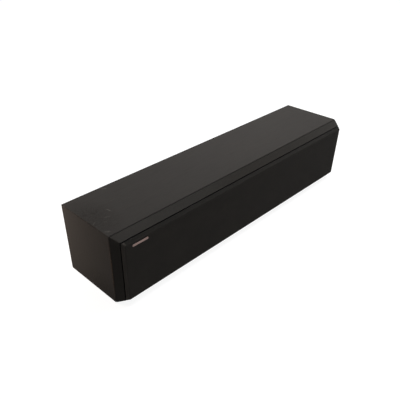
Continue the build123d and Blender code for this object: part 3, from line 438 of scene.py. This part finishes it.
def makeClothSheet(spec):
    # rows run from the middle of the front out to the hem: inset and depth of each row, and the
    # cloth's own length past the start of the edge round
    lean = math.atan(spec["taper"])
    turn = math.pi / 2 - lean
    frontInset = spec["backInset"] + (spec["back"] - spec["front"]) * spec["taper"]
    flatInset = frontInset + spec["edge"] * math.tan(turn / 2)
    halfHeight = spec["height"] / 2
    faceInset = np.linspace(halfHeight, flatInset, spec["faceRows"])
    bend = np.linspace(0, turn, spec["edgeRows"])[1:]
    edgeInset = flatInset - spec["edge"] * np.sin(bend)
    edgeDepth = spec["front"] + spec["edge"] * (1 - np.cos(bend))
    sideDepth = np.linspace(edgeDepth[-1], spec["back"], spec["sideRows"])[1:]
    sideInset = spec["backInset"] + (spec["back"] - sideDepth) * spec["taper"]
    fold = np.linspace(0, math.pi / 2, spec["foldRows"])[1:]
    foldInset = spec["backInset"] + spec["hemRound"] * (1 - np.cos(fold))
    foldDepth = spec["back"] + spec["hemRound"] * np.sin(fold)
    hemInset = foldInset[-1] + np.array([0.5, 1.0]) * spec["hem"]
    inset = np.concatenate([faceInset, edgeInset, sideInset, foldInset, hemInset])
    depth = np.concatenate([np.full(spec["faceRows"], spec["front"]), edgeDepth, sideDepth, foldDepth,
                            np.full_like(hemInset, foldDepth[-1])])
    radius = np.minimum(spec["corner"], spec["cornerShare"] * (halfHeight - inset)).clip(0)
    outline, outward = outlinePoints(spec["width"] / 2 - inset, halfHeight - inset, radius, spec)
    grid = np.stack([outline[..., 0], np.broadcast_to(depth[:, None], outline.shape[:2]),
                     outline[..., 1] + spec["middle"]], -1)
    step = np.hypot(np.diff(inset), np.diff(depth))
    past = np.concatenate([[0], np.cumsum(step)])
    past = (past - past[spec["faceRows"] - 1]).clip(0)
    edgeLine = outline[np.minimum(np.arange(len(inset)), spec["faceRows"] - 1)]
    flat = edgeLine + past[:, None, None] * outward
    return grid * mm, flat * mm


clothGrid, clothFlat = makeClothSheet(clothSheet)
grille = gridPiece("grille_cloth_sheet", clothGrid, finishes["grille_cloth"], wrapColumns=True,
                   outward=(0, -1, 0))
uv = grille.data.uv_layers.new(name="flat")
corners = np.zeros(len(grille.data.loops), np.int32)
grille.data.loops.foreach_get("vertex_index", corners)
uv.data.foreach_set("uv", clothFlat.reshape(-1, 2)[corners].astype(np.float32).ravel())
mergeDoubles(grille.data, clothSheet["weld"] * mm)
thicken = grille.modifiers.new("cloth thickness", "SOLIDIFY")
thicken.thickness = clothSheet["thick"] * mm
thicken.offset = -1
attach(grille, "grille")
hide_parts("grille_cloth")


# Woofer surrounds and spiders: rings turned about each driver's axis
woofers = {
    "places": (-222.0, -112.0, 112.0, 222.0), "middle": middleHeight, "baffle": baffleFace, "steps": 120,
    "rollInner": 33.5, "rollOuter": 39.833, "lipInner": 31.0, "lipOuter": 42.95, "seat": 0.95,
    "rubber": 0.75, "rollSteps": 26, "lipRound": 0.1, "rollLand": 0.25,
    "spiderInner": 10.35, "spiderSeat": 29.5, "spiderOuter": 32.0, "spiderDepth": 16.95,
    "spiderWave": 1.0, "spiderWaves": 3, "spiderLift": 0.2, "spiderThick": 0.6, "spiderSteps": 84,
    "spiderGlued": 0.5,   # width of the inner rim that is glued to the coil and moves with it
}


def turnedGrid(x, radius, depth, spec):
    # a closed profile (radius, depth behind the baffle) carried round the driver's axis
    angle = np.linspace(0, 2 * math.pi, spec["steps"], endpoint=False)[None]
    return np.stack([x + radius[:, None] * np.cos(angle),
                     spec["baffle"] + np.repeat(depth[:, None], angle.shape[1], 1),
                     spec["middle"] + radius[:, None] * np.sin(angle)], -1) * mm


def surroundProfile(spec):
    # front face: flat lip, half circle standing forward, flat lip; back face: the same, one wall in
    centre = (spec["rollInner"] + spec["rollOuter"]) / 2
    roll = (spec["rollOuter"] - spec["rollInner"]) / 2
    back, front, lip = spec["seat"], spec["seat"] - spec["rubber"], spec["lipRound"]
    reach = math.sqrt(roll ** 2 - spec["rubber"] ** 2) + spec["rollLand"]   # where the lip's flat starts
    begin = math.asin(spec["rubber"] / roll)
    sweep = np.linspace(begin, math.pi - begin, spec["rollSteps"])[::-1]
    inner = roll - spec["rubber"]
    under = np.linspace(0, math.pi, spec["rollSteps"])
    frontRadius = np.concatenate([[spec["lipInner"], spec["lipInner"] + lip, centre - reach],
                                  centre + roll * np.cos(sweep),
                                  [centre + reach, spec["lipOuter"] - lip, spec["lipOuter"]]])
    frontDepth = np.concatenate([[front + lip, front, front], back - roll * np.sin(sweep),
                                 [front, front, front + lip]])
    backRadius = np.concatenate([[spec["lipOuter"]], centre + inner * np.cos(under), [spec["lipInner"]]])
    backDepth = np.concatenate([[back], back - inner * np.sin(under), [back]])
    return np.concatenate([frontRadius, backRadius]), np.concatenate([frontDepth, backDepth])


def spiderProfile(spec):
    # depth waves as a sine of the radius, flat on the basket's step at its outer end
    radius = np.linspace(spec["spiderInner"], spec["spiderSeat"], spec["spiderSteps"])
    share = (radius - radius[0]) / (radius[-1] - radius[0])
    wave = spec["spiderWave"] * np.sin(2 * math.pi * spec["spiderWaves"] * share)
    radius = np.concatenate([radius, [spec["spiderOuter"]]])
    depth = np.concatenate([spec["spiderDepth"] + wave - np.abs(wave) * spec["spiderLift"],
                            [spec["spiderDepth"]]])
    return (np.concatenate([radius, radius[::-1]]),
            np.concatenate([depth - spec["spiderThick"], depth[::-1]]))


def bendWithCone(piece):
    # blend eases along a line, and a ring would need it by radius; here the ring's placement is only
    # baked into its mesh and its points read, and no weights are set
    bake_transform(piece)
    place = np.zeros(len(piece.data.vertices) * 3, np.float32)
    piece.data.vertices.foreach_get("co", place)
    place = place.reshape(-1, 3)


spiderFree = woofers["spiderInner"] + woofers["spiderGlued"]
for number, x in enumerate(woofers["places"], 1):
    for part, profile, still, free, slot in (
            ("surround", surroundProfile, woofers["rollOuter"], woofers["rollInner"], "surround_rubber"),
            ("spider", spiderProfile, woofers["spiderSeat"], spiderFree, "spider_cloth")):
        radius, depth = profile(woofers)
        ring = gridPiece(f"woofer_{number}_{part}_ring", turnedGrid(x, radius, depth, woofers),
                         finishes[slot], wrapRows=True, wrapColumns=True)
        bendWithCone(ring)
        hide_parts(f"woofer_{number}_{part}")


# Bare plate on the grille: a slim copper-toned bar with rounded ends, fixed through the cloth
plate = {
    "x": -291.0, "z": 124.0, "length": 33.0, "height": 4.0, "thick": 0.7, "front": grilleFront,
    "bevel": 0.35, "bevelMiddle": (0.12, 0.35),   # inset and depth halfway, as shares of the bevel
    "cornerShare": 0.62, "weld": 0.015, "cornerSteps": 6, "longSteps": 12, "shortSteps": 3,
}
# brushed, then lacquered: fine lines along the bar, and a soft satin in place of a mirror
brushedPlate = dict(
    name="brushed copper plate", dark="#7b635c", light="#8a716a", grainMm=(14, 0.5, 0.5),
    rough=(0.38, 0.5), reliefMm=0.02, specular=0.5)


def makePlate(spec):
    # rows: middle of the face, its flat edge, the bevel, the back edge, middle of the back
    halfHeight, bevel = spec["height"] / 2, spec["bevel"]
    insetMiddle, depthMiddle = spec["bevelMiddle"]
    inset = np.array([halfHeight, bevel, insetMiddle * bevel, 0.0, 0.0, halfHeight])
    depth = np.array([0, 0, depthMiddle * bevel, bevel, spec["thick"], spec["thick"]])
    half = halfHeight - inset
    outline, _ = outlinePoints(spec["length"] / 2 - inset, half, half * spec["cornerShare"], spec)
    return np.stack([outline[..., 0] + spec["x"],
                     np.broadcast_to(depth[:, None] + spec["front"] - spec["thick"], outline.shape[:2]),
                     outline[..., 1] + spec["z"]], -1) * mm


bar = gridPiece("grille_plate", makePlate(plate), makePlain(brushedPlate), wrapColumns=True)
mergeDoubles(bar.data, plate["weld"] * mm)
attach(bar, "grille")
print("grille plate in place")


# Stage: a pale floor that the camera and mirrors see as white, with the object's shadow kept
stage = {
    "size": 9.0, "bounce": "#343434", "shade": "#7c7c7c",
    "glow": (0.89, 1.0), "reach": (0.5, 1.1),   # glow at these two distances in metres
    "sky": 0.03, "skySeen": 1.0, "skyHue": "#ffffff",
}


def seenShare(tree):
    # 1 for the rays that show the background itself: camera, mirror and glass
    path = addNode(tree, "ShaderNodeLightPath").outputs
    direct = addNode(tree, "ShaderNodeMath", (path["Is Camera Ray"], path["Is Glossy Ray"]))
    return addNode(tree, "ShaderNodeMath", (direct, path["Is Transmission Ray"]), use_clamp=True)


def makeFloor(spec):
    material = bpy.data.materials.new("pale floor")
    tree = bareTree(material)
    bounce = addNode(tree, "ShaderNodeBsdfDiffuse", {"Color": hexToLinear(spec["bounce"])})
    # the glow rises with the distance from the object, so that the far floor meets the sky unseen
    coords = addNode(tree, "ShaderNodeTexCoord").outputs["Object"]
    away = addNode(tree, "ShaderNodeVectorMath", (coords,), operation="LENGTH").outputs["Value"]
    rise = addNode(tree, "ShaderNodeMapRange", (away, *spec["reach"], *spec["glow"]))
    glow = addNode(tree, "ShaderNodeEmission", {"Strength": rise})
    shade = addNode(tree, "ShaderNodeBsdfDiffuse", {"Color": hexToLinear(spec["shade"])})
    white = addNode(tree, "ShaderNodeAddShader", (glow, shade))
    shown = addNode(tree, "ShaderNodeMixShader", (seenShare(tree), bounce, white))
    addNode(tree, "ShaderNodeOutputMaterial", (shown,))
    return material


edge = np.linspace(-stage["size"], stage["size"], 3)
across, along = np.meshgrid(edge, edge, indexing="ij")
floor = gridPiece("floor", np.stack([across, along, np.zeros_like(across)], -1), makeFloor(stage),
                  outward=(0, 0, 1))

scene.world = bpy.data.worlds.new("soft studio")
sky = bareTree(scene.world)
dim, bright = (addNode(sky, "ShaderNodeBackground", (hexToLinear(stage["skyHue"]), strength))
               for strength in (stage["sky"], stage["skySeen"]))
shown = addNode(sky, "ShaderNodeMixShader", (seenShare(sky), dim, bright))
addNode(sky, "ShaderNodeOutputWorld", (shown,))

# Soft boxes: name, place and aim in metres, side in metres, watts, colour
softBoxes = [
    ("key", (0.2, 0.25, 0.65), (0.1, 0.0, 0.144), 0.5, 3.5, "#ffffff"),
    ("over left", (0.55, -0.3, 1.5), (0.05, -0.06, 0.14), 0.7, 16.6, "#ffffff"),
    ("over right", (2.1, -0.3, 1.5), (0.3, -0.06, 0.14), 0.7, 2.0, "#ffffff"),
    ("left", (-0.475, 0.25, 0.158), (-0.335, 0.07, 0.12), 0.16, 1.36, "#ffeee0"),
    ("left front", (-0.85, -1.25, 0.3), (-0.2, -0.07, 0.08), 0.6, 5.9, "#ffffff"),
    ("front", (0.5, -1.4, 0.6), (0.0, -0.08, 0.07), 0.8, 5.8, "#ffffff"),
    ("right", (1.5, 0.1, 0.4), (0.335, 0.0, 0.07), 0.6, 3.8, "#ffffff"),
    ("back", (0.4, 1.5, 0.45), (0.0, 0.08, 0.08), 0.8, 5.0, "#ffffff"),
]
for name, place, aim, side, watts, hue in softBoxes:
    data = bpy.data.lights.new(name, "AREA")
    data.shape = "SQUARE"
    data.size, data.energy, data.color = side, watts, hexToLinear(hue)[:3]
    lamp = bpy.data.objects.new(name, data)
    lamp.location = place
    lamp.rotation_mode = "QUATERNION"
    lamp.rotation_quaternion = (Vector(aim) - Vector(place)).to_track_quat("-Z", "Y")
    lamp.visible_glossy = name != "left"   # so near, it would mirror in the top
    scene.collection.objects.link(lamp)
print("stage and light set")

# Camera, fitted to the cabinet's edges in the photograph: place in metres, angles in degrees
view = {
    "place": (-0.6601, -0.5534, 0.5717), "azimuth": -44.6056, "elevation": 35.2413, "roll": -0.1847,
    "lens": 41.92, "sensor": 36.0, "shift": (0.0388, 0.0710), "nearest": 0.01,
}
azimuth, elevation, roll = (math.radians(view[k]) for k in ("azimuth", "elevation", "roll"))
back = Vector((math.sin(azimuth) * math.cos(elevation), -math.cos(azimuth) * math.cos(elevation),
               math.sin(elevation)))
right = Vector((0, 0, 1)).cross(back).normalized()
up = back.cross(right)
right, up = (right * math.cos(roll) + up * math.sin(roll), up * math.cos(roll) - right * math.sin(roll))
lens = bpy.data.cameras.new("camera")
lens.sensor_width, lens.lens, lens.clip_start = view["sensor"], view["lens"], view["nearest"]
lens.shift_x, lens.shift_y = view["shift"]
camera = bpy.data.objects.new("camera", lens)
camera.matrix_world = Matrix.Translation(view["place"]) @ Matrix((right, up, back)).transposed().to_4x4()
scene.collection.objects.link(camera)
scene.camera = camera

bpy.context.view_layer.update()
